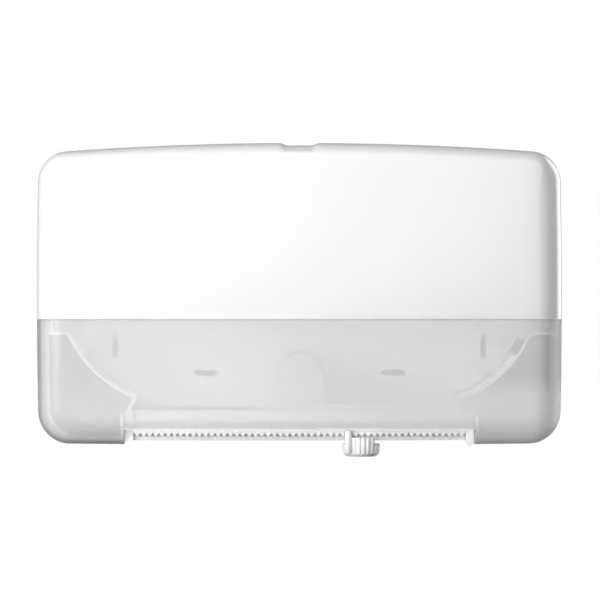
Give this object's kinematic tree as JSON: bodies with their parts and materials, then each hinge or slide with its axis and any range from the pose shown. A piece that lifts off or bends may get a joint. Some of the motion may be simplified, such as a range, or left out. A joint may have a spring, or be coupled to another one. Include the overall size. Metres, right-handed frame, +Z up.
{
  "type": "toilet roll dispenser",
  "caption": "Wall-mounted twin jumbo toilet roll dispenser: white cover over a translucent window, toothed tear bar, sliding paper shutter with fluted knob, two hubs behind a drop-down cover.",
  "frame": {"origin": "middle of the back face, half way up the cover, on the wall plane", "axes": "+X to the right seen from the front, +Y into the wall (the front faces -Y), +Z up"},
  "size_m": [0.504, 0.15, 0.2985],
  "materials": {
    "cover_white": "smooth gloss white moulding",
    "window_plastic": "translucent pale grey moulding, gloss outside",
    "white_plastic": "white moulded plastic, semi gloss",
    "tray_plastic": "pale grey moulded plastic, fine matt grain",
    "screw_steel": "zinc plated steel",
    "lock_metal": "die cast, plated"
  },
  "bodies": {
    "tray": {"back_plate": "tray_plastic", "guide_left": "tray_plastic", "guide_right": "tray_plastic", "centre_divider": "tray_plastic", "spindle_post_left": "tray_plastic", "spindle_post_right": "tray_plastic", "spindle_cap_left": "tray_plastic", "spindle_cap_right": "tray_plastic", "hinge_bracket_left": "tray_plastic", "hinge_bracket_right": "tray_plastic", "lock_body": "tray_plastic", "outlet_frame": "white_plastic", "tear_bar": "white_plastic", "spindle_screws": "screw_steel", "post_screws": "screw_steel", "frame_screws": "screw_steel", "hinge_pin_left": "screw_steel", "hinge_pin_right": "screw_steel", "lock_screws": "screw_steel"},
    "cover": {"cover_shell": "cover_white", "cover_window": "window_plastic", "window_clips": "window_plastic", "hinge_arm_left": "tray_plastic", "hinge_arm_right": "tray_plastic", "arm_rivets": "screw_steel", "cover_catch": "white_plastic"},
    "lock": {"lock_barrel": "lock_metal", "lock_hook": "lock_metal", "hook_screw": "screw_steel"},
    "shutter": {"shutter": "tray_plastic", "shutter_knob": "white_plastic", "knob_screw": "screw_steel"},
    "hub_left": {"roll_hub_left": "white_plastic"},
    "hub_right": {"roll_hub_right": "white_plastic"}
  },
  "joints": [
    {"name": "cover_hinge", "type": "hinge", "parent": "tray", "child": "cover", "pos_m": [0, -0.014, -0.1365], "axis": [1, 0, 0], "range_deg": [0, 90]},
    {"name": "shutter_slide", "type": "slide", "parent": "tray", "child": "shutter", "axis": [-1, 0, 0], "range_m": [0, 0.1212]},
    {"name": "lock_turn", "type": "hinge", "parent": "tray", "child": "lock", "pos_m": [0, -0.019, 0.115], "axis": [0, 0, -1], "range_deg": [0, 90]},
    {"name": "left_hub_spin", "type": "hinge", "parent": "tray", "child": "hub_left", "pos_m": [-0.118, -0.064, 0.0055], "axis": [0, 1, 0], "continuous": true},
    {"name": "right_hub_spin", "type": "hinge", "parent": "tray", "child": "hub_right", "pos_m": [0.118, -0.064, 0.0055], "axis": [0, 1, 0], "continuous": true}
  ]
}
